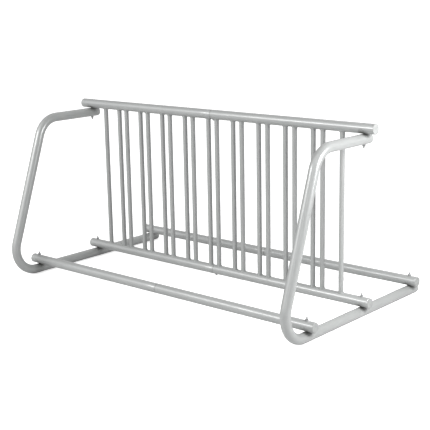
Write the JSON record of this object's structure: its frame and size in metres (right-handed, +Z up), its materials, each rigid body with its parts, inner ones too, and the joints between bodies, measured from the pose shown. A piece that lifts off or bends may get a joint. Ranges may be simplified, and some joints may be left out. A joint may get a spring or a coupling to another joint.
{
  "type": "floor bike rack",
  "caption": "Free-standing floor rack of round steel tube that holds bicycle wheels upright in slots between thin uprights.",
  "frame": {"origin": "on the floor, in the middle of the rack's bounding box", "axes": "+X along the rails to the right as seen from the loading side, +Y to the rear, away from the leaning legs, +Z up"},
  "size_m": [1.524, 0.8639, 0.7171],
  "materials": {
    "tube_finish": "satin silver-grey powder coat",
    "cap_plastic": "matte light grey",
    "zinc_plate": "bright zinc plate"
  },
  "bodies": {
    "root": {"left_end_frame": "tube_finish", "right_end_frame": "tube_finish", "top_rail_left": "tube_finish", "top_rail_right": "tube_finish", "middle_rail_left": "tube_finish", "middle_rail_right": "tube_finish", "front_rail_left": "tube_finish", "front_rail_right": "tube_finish", "rear_rail_left": "tube_finish", "rear_rail_right": "tube_finish", "upright_01": "tube_finish", "upright_02": "tube_finish", "upright_03": "tube_finish", "upright_04": "tube_finish", "upright_05": "tube_finish", "upright_06": "tube_finish", "upright_07": "tube_finish", "upright_08": "tube_finish", "upright_09": "tube_finish", "upright_10": "tube_finish", "upright_11": "tube_finish", "upright_12": "tube_finish", "upright_13": "tube_finish", "upright_14": "tube_finish", "upright_15": "tube_finish", "upright_16": "tube_finish", "upright_17": "tube_finish", "upright_18": "tube_finish", "upright_19": "tube_finish", "upright_20": "tube_finish", "top_rail_caps": "cap_plastic", "middle_rail_caps": "cap_plastic", "front_rail_caps": "cap_plastic", "rear_rail_caps": "cap_plastic", "foot_caps": "cap_plastic", "arm_caps": "cap_plastic", "frame_bolts": "zinc_plate", "frame_washers": "zinc_plate", "frame_nuts": "zinc_plate", "joint_screws": "zinc_plate"}
  },
  "joints": []
}
